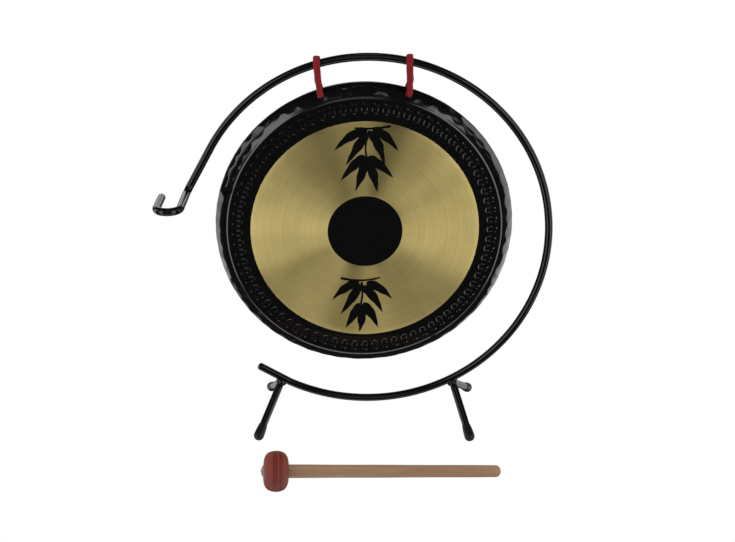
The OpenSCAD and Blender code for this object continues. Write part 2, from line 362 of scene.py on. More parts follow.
def polished_brass():
    """Brushed round the middle of the gong and slightly domed, which makes its bands of light."""
    m, tree, shader = new_material("polished_brass")
    place, fine, broad, smudge, colour = brass_nodes(tree, BRASS_LIGHT, BRASS_DARK)
    shader.inputs["Metallic"].default_value = 1
    shader.inputs["Anisotropic"].default_value = 1.0
    shader.inputs["Anisotropic Rotation"].default_value = 0.25
    rough = ramp(tree, smudge, [(0.3, grey(0.32)), (0.7, grey(0.39))])
    tangent = add(tree, "ShaderNodeTangent", direction_type="RADIAL", axis="Y").outputs[0]
    dome = add(tree, "ShaderNodeVectorMath", {0: place}, operation="LENGTH").outputs["Value"]
    dome = sum_of(tree, "MULTIPLY", dome, dome)
    normal = bump(tree, dome, -DOME)
    normal = bump(tree, fine, 0.006 * MM, 0.7, normal)
    normal = bump(tree, broad, 0.06 * MM, 0.7, normal)
    connect(tree, shader, Base_Color=colour, Roughness=rough, Normal=normal, Tangent=tangent)
    return m


def raw_brass():
    """The dull inside of the gong, darkened by heat."""
    m, tree, shader = new_material("raw_brass")
    _, fine, _, smudge, colour = brass_nodes(tree, RAW_LIGHT, RAW_DARK)
    shader.inputs["Metallic"].default_value = 1
    rough = ramp(tree, smudge, [(0.3, grey(0.42)), (0.7, grey(0.6))])
    normal = bump(tree, fine, 0.02 * MM, 0.6)
    connect(tree, shader, Base_Color=colour, Roughness=rough, Normal=normal)
    return m


def red_cord():
    """Dyed braid with a soft sheen, unevenly worn."""
    m, tree, shader = new_material("red_cord")
    place = local_place(tree)
    shader.inputs["Sheen Weight"].default_value = 0.04
    shader.inputs["Sheen Roughness"].default_value = 0.4
    shader.inputs["Specular IOR Level"].default_value = 0.3
    fibre = noise_of(tree, place, 90, 4, 0.7)
    worn = noise_of(tree, object_place(tree), 240, 3)
    base = ramp(tree, worn, [(0.3, (0.135, 0.003, 0.005)), (0.7, (0.195, 0.005, 0.008))])
    rough = ramp(tree, fibre, [(0.2, grey(0.55)), (0.8, grey(0.8))])
    normal = bump(tree, fibre, 0.05 * MM, 0.7)
    connect(tree, shader, Base_Color=base, Roughness=rough, Normal=normal)
    return m


def foot_vinyl():
    """Dull black dipped vinyl with grey scuffs."""
    m, tree, shader = new_material("foot_vinyl")
    place = object_place(tree)
    shader.inputs["Specular IOR Level"].default_value = 0.22
    scuff = noise_of(tree, place, 500, 4, 0.7)
    base = ramp(tree, scuff, [(0.4, grey(0.0025)), (0.75, grey(0.007))])
    rough = ramp(tree, scuff, [(0.3, grey(0.35)), (0.7, grey(0.55))])
    connect(tree, shader, Base_Color=base, Roughness=rough, Normal=bump(tree, scuff, 0.05 * MM))
    return m


def mallet_rubber():
    """Moulded dull red rubber: dark on the flat band, light on the seam, a little chalky."""
    m, tree, shader = new_material("mallet_rubber")
    place = local_place(tree)
    shader.inputs["Specular IOR Level"].default_value = 0.3
    split = add(tree, "ShaderNodeSeparateXYZ", {0: place})
    ends = {"From Min": -HEAD_LEN / 2, "From Max": HEAD_LEN / 2}
    across = add(tree, "ShaderNodeMapRange", {"Value": split.outputs[0], **ends})
    banded = ramp(
        tree,
        across.outputs[0],
        [
            (0.0, (0.150, 0.032, 0.022)),
            (0.30, (0.155, 0.033, 0.023)),
            (0.38, (0.112, 0.016, 0.011)),
            (0.535, (0.122, 0.018, 0.012)),
            (0.56, (0.20, 0.055, 0.038)),
            (0.585, (0.118, 0.017, 0.011)),
            (0.70, (0.122, 0.019, 0.014)),
            (0.78, (0.160, 0.036, 0.024)),
            (1.0, (0.150, 0.032, 0.022)),
        ],
    )
    chalk = noise_of(tree, place, 130, 5, 0.65)
    tint = ramp(tree, chalk, [(0.3, (0.86, 0.86, 0.86)), (0.75, (1.22, 1.2, 1.12))])
    base = mix_colours(tree, "MULTIPLY", banded, tint)
    rough = ramp(tree, chalk, [(0.3, grey(0.5)), (0.7, grey(0.7))])
    normal = bump(tree, noise_of(tree, place, 900, 4, 0.7), 0.08 * MM, 0.6)
    connect(tree, shader, Base_Color=base, Roughness=rough, Normal=normal)
    return m


def handle_wood(name, light, dark, stretch):
    """Straight-grained hardwood. stretch is how long the grain is for its width."""
    m, tree, shader = new_material(name)
    place = local_place(tree)
    shader.inputs["Specular IOR Level"].default_value = 0.3
    longer = add(tree, "ShaderNodeMapping", {"Vector": place, "Scale": (1 / stretch, 1, 1)})
    grain = noise_of(tree, longer.outputs[0], 900, 5, 0.65)
    figure = noise_of(tree, longer.outputs[0], 210, 3, 0.5)
    pores = noise_of(tree, longer.outputs[0], 3400, 2, 0.5)
    half = sum_of(tree, "MULTIPLY", sum_of(tree, "ADD", grain, figure), 0.5)
    middle = [(a + b) / 2 for a, b in zip(light, dark)]
    base = ramp(tree, half, [(0.38, dark), (0.5, middle), (0.6, light)])
    rough = ramp(tree, grain, [(0.3, grey(0.42)), (0.7, grey(0.6))])
    connect(tree, shader, Base_Color=base, Roughness=rough, Normal=bump(tree, pores, 0.04 * MM))
    return m


INK = (0.0025, 0.0025, 0.0027)
STAND_BLACK = enamel("stand_enamel", INK, 0.13, 0.28, 0.012 * MM)
LACQUER = enamel("gong_lacquer", INK, 0.1, 0.55, 0.006 * MM)
BRASS = polished_brass()
RAW = raw_brass()
CORD = red_cord()
VINYL = foot_vinyl()
RUBBER = mallet_rubber()
WOOD = handle_wood("handle_wood", (0.31, 0.189, 0.112), (0.235, 0.138, 0.079), 22)
END_GRAIN = handle_wood("end_grain", (0.27, 0.20, 0.14), (0.16, 0.115, 0.08), 1)

# ---------------------------------------------------------------- camera and stage


CAMERA_PLACE = np.array([0.6, -984, 374]) * MM
CAMERA_DROP = 22.4
LENS, SENSOR = 61.22, 36
FLOOR_SIZE = 6
FLOOR_GREY = 0.9


def add_camera():
    """The camera looks along +Y and down, from about a metre in front of the ring."""
    data = bpy.data.cameras.new("camera")
    data.sensor_width = SENSOR
    data.lens = LENS
    camera = bpy.data.objects.new("camera", data)
    camera.location = RING + CAMERA_PLACE
    camera.rotation_euler = (math.radians(90 - CAMERA_DROP), 0, 0)
    bpy.context.scene.collection.objects.link(camera)
    bpy.context.scene.camera = camera


def add_floor():
    """White paper: matt to the light, plain white to the camera, and not seen in gloss."""
    mesh = bpy.data.meshes.new("floor")
    corners = [(x * FLOOR_SIZE, y * FLOOR_SIZE, 0) for x, y in ((-1, -1), (1, -1), (1, 1), (-1, 1))]
    mesh.from_pydata(corners, [], [(0, 1, 2, 3)])
    m, tree, shader = new_material("floor_paper")
    shader.inputs["Specular IOR Level"].default_value = 0
    shader.inputs["Roughness"].default_value = 1
    shader.inputs["Base Color"].default_value = (*grey(FLOOR_GREY), 1)
    seen = add(tree, "ShaderNodeLightPath").outputs["Is Camera Ray"]
    plain = add(tree, "ShaderNodeEmission", {"Color": (1, 1, 1, 1), "Strength": 1.0}).outputs[0]
    both = add(tree, "ShaderNodeMixShader", {0: seen, 1: shader.outputs[0], 2: plain}).outputs[0]
    tree.links.new(both, tree.nodes["Material Output"].inputs["Surface"])
    mesh.materials.append(m)
    floor = bpy.data.objects.new("floor", mesh)
    bpy.context.scene.collection.objects.link(floor)
    floor.visible_glossy = False


# Name, place from the middle of the ring, width and height, and watts
LAMPS = (
    ("left_softbox", (-1.1, -0.75, 0.45), (0.5, 0.9), 7),
    ("right_softbox", (1.1, -0.75, 0.45), (0.5, 0.9), 7),
    ("top_softbox", (0, -0.1, 1.5), (1.2, 0.5), 9),
)


def add_lamp(name, offset, size, watts):
    """A soft light aimed at the gong and not seen in gloss."""
    place = RING + np.array(offset)
    data = bpy.data.lights.new(name, "AREA")
    data.shape = "RECTANGLE"
    data.size, data.size_y = size
    data.energy = watts
    lamp = bpy.data.objects.new(name, data)
    lamp.location = place
    way = Vector(GONG) - Vector(place)
    lamp.rotation_euler = way.to_track_quat("-Z", "Y").to_euler()
    lamp.visible_glossy = False
    bpy.context.scene.collection.objects.link(lamp)


def inside(tree, degrees, low, high, soft):
    """1 where degrees lies between low and high, with soft edges."""
    rise = {"Value": degrees, "From Min": low - soft, "From Max": low + soft}
    fall = {"Value": degrees, "From Min": high + soft, "From Max": high - soft}
    first = add(tree, "ShaderNodeMapRange", rise, interpolation_type="SMOOTHSTEP").outputs[0]
    second = add(tree, "ShaderNodeMapRange", fall, interpolation_type="SMOOTHSTEP").outputs[0]
    return sum_of(tree, "MULTIPLY", first, second)


# What gloss reflects: from, to and softness of the angle away from the front, the same of
# the angle over the horizon, and then how bright. All angles are in degrees.
PANELS = {
    "front_side": ((33, 62, 2), (-40, 42, 4), 3.0),
    "front_strip": ((-1, 9, 3), (4, 30, 5), 1.1),
    "high_strip": ((-1, 24, 4), (48, 52, 1.5), 1.5),
    "front_table": ((-1, 80, 8), (-95, -50, 8), 2.0),
    "back_wall": ((140, 181, 12), (2, 30, 6), 1.7),
    "back_sides": ((133, 163, 6), (-46, -10, 4), 0.7),
    "overhead": ((-1, 181, 1), (83, 95, 2), 1.8),
}
# The side wall leans, so its angle from the front changes with the height
SIDE_WALL = ((87, 120, 2), (-40, 34, 4), 1.9)
SIDE_LEAN = 0.4
DARK_ROOM = 0.035
MATT_LIGHT = 0.4


def add_panel(tree, glow, away, over, panel):
    across, height, strength = panel
    shape = sum_of(tree, "MULTIPLY", inside(tree, away, *across), inside(tree, over, *height))
    return sum_of(tree, "ADD", sum_of(tree, "MULTIPLY", shape, strength), glow)


def add_world():
    """A studio for the gloss to reflect: dark, with a few bright panels.

    The camera sees white, and matt surfaces get an even light.
    """
    world = bpy.data.worlds.new("studio")
    world.use_nodes = True
    tree = world.node_tree
    tree.nodes.clear()
    way = add(tree, "ShaderNodeTexCoord").outputs["Generated"]
    x, y, z = add(tree, "ShaderNodeSeparateXYZ", {0: way}).outputs
    front = sum_of(tree, "MULTIPLY", y, -1.0)
    away = sum_of(tree, "ARCTAN2", sum_of(tree, "ABSOLUTE", x), front)
    away = sum_of(tree, "DEGREES", away)
    over = sum_of(tree, "DEGREES", sum_of(tree, "ARCSINE", z))
    glow = DARK_ROOM
    for panel in PANELS.values():
        glow = add_panel(tree, glow, away, over, panel)
    leaning = sum_of(tree, "ADD", sum_of(tree, "MULTIPLY", over, SIDE_LEAN), away)
    glow = add_panel(tree, glow, leaning, over, SIDE_WALL)
    rays = add(tree, "ShaderNodeLightPath").outputs
    shiny = add(tree, "ShaderNodeBackground", {"Strength": glow}).outputs[0]
    matt = add(tree, "ShaderNodeBackground", {"Strength": MATT_LIGHT}).outputs[0]
    plain = add(tree, "ShaderNodeBackground", {"Strength": 1.0}).outputs[0]
    for node in (shiny.node, matt.node, plain.node):
        node.inputs["Color"].default_value = (1, 1, 1, 1)
    lit = add(tree, "ShaderNodeMixShader", {0: rays["Is Glossy Ray"], 1: matt, 2: shiny}).outputs[0]
    both = add(tree, "ShaderNodeMixShader", {0: rays["Is Camera Ray"], 1: lit, 2: plain}).outputs[0]
    out = add(tree, "ShaderNodeOutputWorld")
    tree.links.new(both, out.inputs["Surface"])
    bpy.context.scene.world = world


add_camera()
add_floor()
add_world()
for lamp in LAMPS:
    add_lamp(*lamp)
bpy.context.scene.view_settings.view_transform = "Standard"

# ---------------------------------------------------------------- the stand


def in_plane(r, degrees):
    a = math.radians(degrees)
    return np.array([r * math.cos(a), 0, r * math.sin(a)])


def arc(centre, a, b, start, end, step):
    """Points on a circle through centre + a at 0 degrees and centre + b at 90 degrees."""
    r = np.linalg.norm(a)
    count = max(3, math.ceil(abs(end - start) * math.pi / 180 * r / step))
    turns = np.radians(np.linspace(start, end, count))
    return [centre + a * math.cos(t) + b * math.sin(t) for t in turns]


def straight(a, b, step):
    count = max(2, math.ceil(np.linalg.norm(b - a) / step))
    return [a + (b - a) * i / count for i in range(1, count)]


def ring_path():
    """The middle of the ring's rod, from its low end to the free end of its hook."""
    step = 1.5 * MM
    fine = 0.6 * MM
    x, y, z = np.eye(3)
    low_start = in_plane(RING_R, LOW_START)
    low_way = in_plane(1, LOW_START - LOW_KINK - 90)
    upper_centre = in_plane(RING_R - UPPER_R, UPPER_START)
    drop_start = upper_centre + in_plane(UPPER_R, UPPER_END)
    drop_way = in_plane(1, UPPER_END + 90)
    drop_end = drop_start + drop_way * HOOK_DROP
    elbow_centre = drop_end - y * ELBOW_R
    prong = elbow_centre + drop_way * ELBOW_R
    hook_centre = np.array([prong[0] - HOOK_R, HOOK_R - HOOK_REACH, prong[2]])
    free = hook_centre - x * HOOK_R
    path = straight(low_start + low_way * LOW_LEN, low_start, step)
    path += arc(np.zeros(3), x * RING_R, z * RING_R, LOW_START, UPPER_START, step)
    path += arc(upper_centre, x * UPPER_R, z * UPPER_R, UPPER_START, UPPER_END, step)[1:]
    path += straight(drop_start, drop_end, step)
    path += arc(elbow_centre, y * ELBOW_R, drop_way * ELBOW_R, 0, 90, fine)
    path += straight(prong, np.array([prong[0], hook_centre[1], prong[2]]), step)
    path += arc(hook_centre, x * HOOK_R, -y * HOOK_R, 0, 180, fine)
    path += straight(free, np.array([free[0], -HOOK_STUB, free[2]]), step)
    return [RING + p for p in path]


ROD_SIDES = 32
ROD_EDGE = 2.2 * MM
UNEVEN, UNEVEN_LENGTH = 0.03 * MM, 14 * MM


def rod(name, path):
    """A bent rod with rounded ends. Its surface is a little uneven, as drawn bar is."""
    path = [np.asarray(p) for p in path]
    start, end = unit(path[0] - path[1]), unit(path[-1] - path[-2])
    tip = rounded_tip(ROD_EDGE, ROD_R)
    before = [(path[0] + start * reach, r) for reach, r in tip[:0:-1]]
    after = [(path[-1] + end * reach, r) for reach, r in tip[1:]]
    points = [p for p, _ in before] + path + [p for p, _ in after]
    radii = [r for _, r in before] + [ROD_R] * len(path) + [r for _, r in after]
    uneven = [UNEVEN * noise.noise(Vector(p) / UNEVEN_LENGTH) for p in points]
    rows = tube_rows(points, np.array(radii) + uneven + PAINT, ROD_SIDES)
    caps = [[rows[0].mean(axis=0)], [rows[-1].mean(axis=0)]]
    return skin(name, [caps[0], *rows, caps[1]], materials=[STAND_BLACK])


def leg_frame(side):
    """The top of a leg rod standing square, its way down, its foot and the slope of its halves."""
    top = in_plane(RING_R + 2 * ROD_R + WELD_GAP, -90 + side * WELD_ANGLE)
    foot = np.array([side * FOOT_X, FOOT_Y, CAP_R - CAP_FLAT - RING[2]])
    drop = np.array([foot[0] - top[0], 0, foot[2] - top[2]])
    below = np.linalg.norm(drop) - LEG_BEND_R
    slope = math.atan2(below, foot[1]) + math.asin(LEG_BEND_R / math.hypot(foot[1], below))
    return top, unit(drop), foot, slope


def leg_turned(side, points):
    """Places on a leg once it is turned on its weld, in the frame of the whole set."""
    top, _, _, _ = leg_frame(side)
    x, y, z = (np.asarray(points, float) - [top[0], 0, 0]).T
    c, s = math.cos(LEG_TWIST), math.sin(LEG_TWIST)
    return RING + np.stack([top[0] + x * c + y * s, y * c - x * s, z], axis=-1)


def leg(side):
    """A rod bent under its weld, with one foot in front of it and one behind."""
    top, down, foot, slope = leg_frame(side)
    step, fine = 1.5 * MM, 0.5 * MM
    reach = math.degrees(slope)
    y = np.array([0, 1, 0])
    centre = top + down * LEG_BEND_R
    bend = arc(centre, -down * LEG_BEND_R, y * LEG_BEND_R, -reach, reach, fine)
    front = foot * [1, -1, 1]
    path = [front] + straight(front, bend[0], step) + bend + straight(bend[-1], foot, step) + [foot]
    return rod(f"{WORDS[side]}_leg_bar", leg_turned(side, path))


def foot_cap(side, depth):
    """A dipped vinyl cap with a thin lip, pressed flat where it stands."""
    _, down, foot, slope = leg_frame(side)
    foot = foot * [1, depth, 1]
    way = down * math.sin(slope) + np.array([0, depth * math.cos(slope), 0])
    back = CAP_LEN - CAP_R
    inner = -back + 0.6 * MM
    lip = ROD_R + 0.45 * MM
    full = CAP_R + CAP_SWELL
    outline = [(inner, 0), (inner, ROD_R - 0.1 * MM), (-back, ROD_R + 0.05 * MM)]
    outline += [(-back, lip - 0.15 * MM), (-back + 0.15 * MM, lip)]
    for s in np.linspace(0.06, 0.96, 12):
        outline.append((-back + back * s, lip + (full - lip) * math.sin(math.pi / 2 * s)))
    for t in np.linspace(0, math.pi / 2, 14)[:-1]:
        outline.append((full * math.sin(t), full * math.cos(t)))
    outline.append((full, 0))
    rows, _ = turned_rows(outline, foot, way, 40)
    rows = [leg_turned(side, row) for row in rows]
    for row in rows:
        row[:, 2] = np.maximum(row[:, 2], 0)
    return skin(f"{PLACES[depth]}_{WORDS[side]}_foot", rows, materials=[VINYL])


def weld(side):
    """The painted-over bead: a flattened, slightly rippled ball where the two rods cross."""
    angle = -90 + side * WELD_ANGLE
    centre = RING + in_plane(RING_R + ROD_R + 0.15 * MM, angle)
    along, out = in_plane(1, side * WELD_ANGLE), in_plane(1, angle)
    y = np.array([0.0, 1, 0])
    count = 48
    turn = np.arange(count) * 2 * math.pi / count
    rows = []
    for lift in np.linspace(-1, 1, 15):
        waist = math.sqrt(max(0, 1 - lift * lift))
        ripple = 1 + 0.02 * np.sin(turn * 9 + lift * 2.5) + 0.04 * np.sin(turn * 4 + 1.1)
        reach = BEAD_SPREAD * waist**0.8 * ripple
        flat = (np.cos(turn) * reach)[:, None] * along + (np.sin(turn) * reach)[:, None] * y
        row = centre + flat + out * lift * BEAD_HEIGHT
        rows.append(row if waist > 0 else row[:1])
    return skin(f"{WORDS[side]}_weld", rows, materials=[STAND_BLACK])


finish_piece(rod("ring_bar", ring_path()), "stand", "black_enamel", "ring_rod")
for side, word in WORDS.items():
    finish_piece(leg(side), "stand", "black_enamel", f"{word}_leg_rod")
    finish_piece(weld(side), "stand", "black_enamel", f"{word}_weld_bead")
    for depth, place in PLACES.items():
        finish_piece(foot_cap(side, depth), "stand", "foot_vinyl", f"{place}_{word}_foot_cap")

# ---------------------------------------------------------------- the gong


def on_gong(across, up, height):
    """Places on the gong, from its own across, up and height over the face."""
    across, up, height = np.broadcast_arrays(across, up, height)
    back = -height * math.cos(TILT) - up * math.sin(TILT)
    x = across * math.cos(TURN) - back * math.sin(TURN)
    y = across * math.sin(TURN) + back * math.cos(TURN)
    z = up * math.cos(TILT) - height * math.sin(TILT)
    return GONG + np.stack([x, y, z], axis=-1)


def gong_place(r, height, angle):
    """A place on the gong by its distance from the middle and its angle from the top."""
    return on_gong(r * np.sin(angle), r * np.cos(angle), height)


def gong_places(piece):
    """Each point's own across, up and height over the face."""
    points = np.empty(len(piece.data.vertices) * 3, np.float32)
    piece.data.vertices.foreach_get("co", points)
    x, y, z = (points.reshape(-1, 3) - GONG).T
    across = x * math.cos(TURN) + y * math.sin(TURN)
    back = y * math.cos(TURN) - x * math.sin(TURN)
    up = z * math.cos(TILT) - back * math.sin(TILT)
    height = -z * math.sin(TILT) - back * math.cos(TILT)
    return np.stack([across, up, height], axis=1)


def rounded(a, b, c, r, steps):
    """An arc that rounds the corner b between a and c."""
    a, b, c = (np.array(p) for p in (a, b, c))
    u, v = unit(a - b), unit(c - b)
    half = math.acos(u.dot(v)) / 2
    middle = unit(u + v)
    centre = b + middle * r / math.sin(half)
    side = np.sign(u[0] * v[1] - u[1] * v[0])
    first = math.atan2(-middle[1], -middle[0])
    turns = first + side * (math.pi / 2 - half) * np.linspace(1, -1, steps + 1)
    return [centre + r * np.array([math.cos(t), math.sin(t)]) for t in turns]


def offset(line, t):
    """An open outline moved in by t."""
    line = np.array(line)
    way = np.diff(line, axis=0)
    way /= np.linalg.norm(way, axis=1)[:, None]
    normal = np.stack([way[:, 1], -way[:, 0]], axis=1)
    before = np.vstack([normal[:1], normal])
    after = np.vstack([normal, normal[-1:]])
    return line + t * (before + after) / (1 + (before * after).sum(1))[:, None]


FACE_FALL = 0.6 * MM
CREASE = (CREASE_R, -FACE_FALL)
WIDEST = (GONG_R + 0.3 * MM, -WIDEST_DEPTH)
RIM = (GONG_R - RIM_TAPER, -DEPTH)
FACE_R = 96 * MM
FLARE = np.array(WIDEST) - np.array(CREASE)
FLARE_WAY = unit(FLARE)
FLARE_OUT = np.array([-FLARE_WAY[1], FLARE_WAY[0]])
REPEATS = 76
COARSE = REPEATS * 5


def groove(r, half_width, deep, count):
    """Three rows that make a fine scored line at radius r."""
    return [((r - half_width, 0.0), count), ((r, -deep), count), ((r + half_width, 0.0), count)]


def gong_outline():
    """The outside of the gong from the middle of its face to its rim, in fine steps.

    With each step comes the number of points round it.
    """
    few, some, many = COARSE, COARSE * 2, COARSE * 4
    marked = np.arange(100, 112.9, 0.48)
    rows = [((r * MM, 0), few) for r in (4, 10, 18, 26, 30.6)]
    rows += groove(CENTRE_R, 0.25 * MM, 0.06 * MM, few)
    rows += [((r * MM, 0), few) for r in np.arange(35, 95, 5)]
    rows += groove(BAND_R, 0.3 * MM, 0.07 * MM, some)
    rows += [((98 * MM, -0.02 * MM), some)]
    rows += [((r * MM, -FACE_FALL * ((r - 96) / 19) ** 1.5), many) for r in marked]
    corner = rounded((FACE_R, 0), CREASE, WIDEST, 4 * MM, 7)
    rows += [(tuple(p), some) for p in corner]
    edge = rounded(CREASE, WIDEST, RIM, 3 * MM, 7)
    bulge = 0.55 * MM
    start, stop = np.array(corner[-1]), np.array(edge[0])
    out = unit([-(stop - start)[1], (stop - start)[0]])
    for s in np.linspace(0, 1, 11)[1:-1]:
        swell = out * bulge * math.sin(math.pi * s)
        rows.append((tuple(start + (stop - start) * s + swell), some))
    rows += [(tuple(p), some) for p in edge]
    for s in np.linspace(0, 1, 8)[1:-1]:
        rows.append((tuple(np.array(edge[-1]) * (1 - s) + np.array(RIM) * s), some))
    return rows


# The punched border in millimetres: each dot's place along it, radius, size and depth
DOTS = ((-1.1, 110.7, 0.7, 0.42), (2.1, 110.0, 0.6, 0.32))
# The U beside them: the radius of its bend's middle, its half width, where its arms end past
# that middle, and the breadth and depth of its line
U_MIDDLE, U_HALF_WIDTH, U_ARMS, U_BREADTH, U_DEPTH = (n * MM for n in (104.9, 2.25, 1.9, 0.55, 0.3))


def punch_marks(r, angle):
    """How deep the punched border is: a pair of dots and a U for each repeat."""
    pitch = 2 * math.pi / REPEATS
    shift = np.sin(angle * 11.3) * 0.25 * MM + np.sin(angle * 23.7) * 0.15 * MM
    u = ((angle + pitch / 2) % pitch - pitch / 2) * r
    v = r + shift
    depth = 0
    for along, height, size, deep in DOTS:
        away = np.hypot(u - along * MM, v - height * MM)
        depth = depth + deep * MM * np.exp(-((away / (size * MM)) ** 2))
    bowl = np.abs(np.hypot(u, v - U_MIDDLE) - U_HALF_WIDTH)
    arms = np.hypot(np.abs(u) - U_HALF_WIDTH, np.maximum(v - U_MIDDLE - U_ARMS, 0))
    away = np.where(v < U_MIDDLE, bowl, arms)
    return depth + U_DEPTH * np.exp(-((away / U_BREADTH) ** 2))


# The hammer blows: how many in each row, their random seed, their size and their depth
BLOWS = {"count": 52, "seed": 5, "size": 7 * MM, "deep": 0.4 * MM}
BLOW_ROWS = 3
BLOW_ROW_GAP = 6.5 * MM
BLOW_LIFT = 0.22 * MM


def hammer_blows(angle, s, count, seed, size, deep):
    """The shape left by rows of hammer blows round a band, each a shallow hollow.

    s runs across the band, in metres.
    """
    rng = np.random.default_rng(seed)
    lows = np.full(np.shape(angle), 1.0)
    for row in range(BLOW_ROWS):
        for i in range(count):
            place = (i + 0.5 * (row % 2) + rng.uniform(-0.28, 0.28)) * 2 * math.pi / count
            middle = (row - 1) * BLOW_ROW_GAP + rng.uniform(-1.5, 1.5) * MM
            push = rng.uniform(0, 0.35)
            du = ((angle - place + math.pi) % (2 * math.pi) - math.pi) * GONG_R
            lows = np.minimum(lows, (du**2 + (s - middle) ** 2) / size**2 + push)
    return deep * np.minimum(lows, 1.0)


def gong_mesh():
    outer = gong_outline()
    line = [p for p, _ in outer]
    inner = offset([(0, 0), *line, RIM], WALL)[1:]
    flare_middle = (np.array(CREASE) + np.array(WIDEST)) / 2
    rows, bands = [], []

    def add_row(r, height, count, band, relief=None):
        angle = np.arange(count) * 2 * math.pi / count
        dr, dh = (0, 0) if relief is None else relief(angle)
        rows.append(gong_place(r + dr, height + dh, angle))
        bands.append(band)

    def pole(height):
        rows.append(on_gong(0.0, 0.0, height).reshape(1, 3))

    def flare_relief(point):
        """How the hammer blows move a row of points. They fade out towards both edges."""
        s = (np.array(point) - flare_middle).dot(FLARE_WAY)
        past_crease = np.linalg.norm(np.array(point) - CREASE)
        strength = np.clip((past_crease - 2 * MM) / (4 * MM), 0, 1)
        fade = np.clip(1.15 - abs(s) / (17 * MM), 0, 1)

        def relief(angle):
            lift = hammer_blows(angle, s, **BLOWS) - BLOW_LIFT
            lift = lift * strength * fade
            return FLARE_OUT[0] * lift, FLARE_OUT[1] * lift

        return relief

    pole(0.0)
    bands.append(1)
    for (r, height), count in outer:
        band = 1 if r < CENTRE_R - 0.01 * MM or r > BAND_R - 0.01 * MM else 0
        relief = None
        if 99 * MM < r < 113 * MM:
            relief = lambda angle, r=r: (0, -punch_marks(r, angle))
        elif r > CREASE_R:
            relief = flare_relief((r, height))
        add_row(r, height, count, band, relief)
    edge = 0.35 * MM
    inner_rim = inner[-1]
    add_row(RIM[0], RIM[1] + edge, COARSE * 2, 1)
    add_row(RIM[0] - edge, RIM[1], COARSE * 2, 1)
    add_row(inner_rim[0] + edge, inner_rim[1], COARSE * 2, 2)
    add_row(inner_rim[0], inner_rim[1] + edge, COARSE * 2, 2)
    for k in range(len(inner) - 2, -1, -1):
        r, height = inner[k]
        if r > CREASE_R - 2 * MM:
            add_row(r, height, COARSE, 2, flare_relief((r, height)))
        elif k % 3 == 0 or r > 111 * MM:
            add_row(r, height, COARSE, 2)
    pole(-WALL)
    return skin("gong_dish", rows, bands, [BRASS, LACQUER, RAW])


def along_hole(angle, d):
    """A place on the axis of the cord hole at angle, d outside the flare."""
    r, height = np.array(CREASE) + FLARE * HOLE_SHARE + FLARE_OUT * d
    return gong_place(r, height, angle)


def cut_cord_holes(gong):
    """Drills the two holes square to the flare, with lacquered edges."""
    for side in WORDS:
        first, last = (along_hole(side * HOLE_ANGLE, d) for d in (-6 * MM, 6 * MM))
        axis = np.array([first + (last - first) * s for s in (0, 0.5, 1)])
        rows = tube_rows(axis, HOLE_R, 32)
        cutter = skin("hole_cutter", [[first], *rows, [last]], materials=[BRASS, LACQUER, RAW])
        cutter.data.polygons.foreach_set("material_index", [1] * len(cutter.data.polygons))
        drill = gong.modifiers.new("hole", "BOOLEAN")
        drill.operation = "DIFFERENCE"
        drill.solver = "EXACT"
        drill.object = cutter
        drilled = gong.evaluated_get(bpy.context.evaluated_depsgraph_get())
        done = bpy.data.meshes.new_from_object(drilled)
        gong.modifiers.clear()
        gong.data = done
        bpy.data.objects.remove(cutter)


gong = gong_mesh()
cut_cord_holes(gong)
keep_local(gong, gong_places(gong))
finish_piece(gong, "hanging_gong", "gong_brass", "gong")


def brush_stroke(points, widths, steps=26):
    """The left and right edges of a brush stroke along three points, as wide as widths says."""
    a, b, c = (np.array(p, float) for p in points)
    left, right = [], []
    for i in range(steps + 1):
        t = i / steps
        place = a * (1 - t) ** 2 + 2 * b * t * (1 - t) + c * t * t
        way = unit(2 * (b - a) * (1 - t) + 2 * (c - b) * t)
        half = np.interp(t, [0, 0.04, 0.2, 0.55, 0.9, 1], widths) / 2
        half *= 1 + 0.07 * math.sin(17 * t + a[0] * 3)
        side = np.array([-way[1], way[0]]) * half
        left.append(place + side)
        right.append(place - side)
    return left, right


# Leaf sprays, in millimetres from the middle of the face: start, bend and end of each stroke
LEAF = (0.8, 4.4, 8.0, 7.2, 2.0, 0.2)
TWIG = (1.0, 2.2, 2.0, 1.6, 1.7, 0.9)
TOP_SPRAY = [
    (TWIG, (21, 91), (3, 88), (-9, 90)),
    (TWIG, (4, 88), (-2, 76), (2, 62)),
    (LEAF, (2, 88), (-12, 86), (-25, 71)),
    (LEAF, (2, 86), (-5, 76), (-16, 58)),
    (LEAF, (6, 89), (17, 85), (27, 70)),
    (LEAF, (4, 87), (12, 77), (16, 58)),
    (LEAF, (0, 66), (-9, 60), (-20, 45)),
    (LEAF, (1, 64), (-2, 52), (-8, 36)),
    (LEAF, (2, 65), (12, 60), (23, 47)),
    (LEAF, (2, 62), (8, 50), (10, 35)),
]
LOW_SPRAY = [
    (TWIG, (-21, -42), (-4, -47), (13, -42)),
    (TWIG, (-3, -46), (-1, -56), (-4, -68)),
    (LEAF, (-5, -46), (-17, -49), (-28, -62)),
    (LEAF, (-4, -48), (-10, -60), (-21, -76)),
    (LEAF, (1, -47), (13, -50), (23, -62)),
    (LEAF, (-2, -50), (8, -58), (15, -75)),
    (LEAF, (-4, -66), (-9, -76), (-17, -89)),
    (LEAF, (-3, -67), (-2, -80), (-5, -93)),
    (LEAF, (-2, -66), (6, -74), (11, -89)),
]


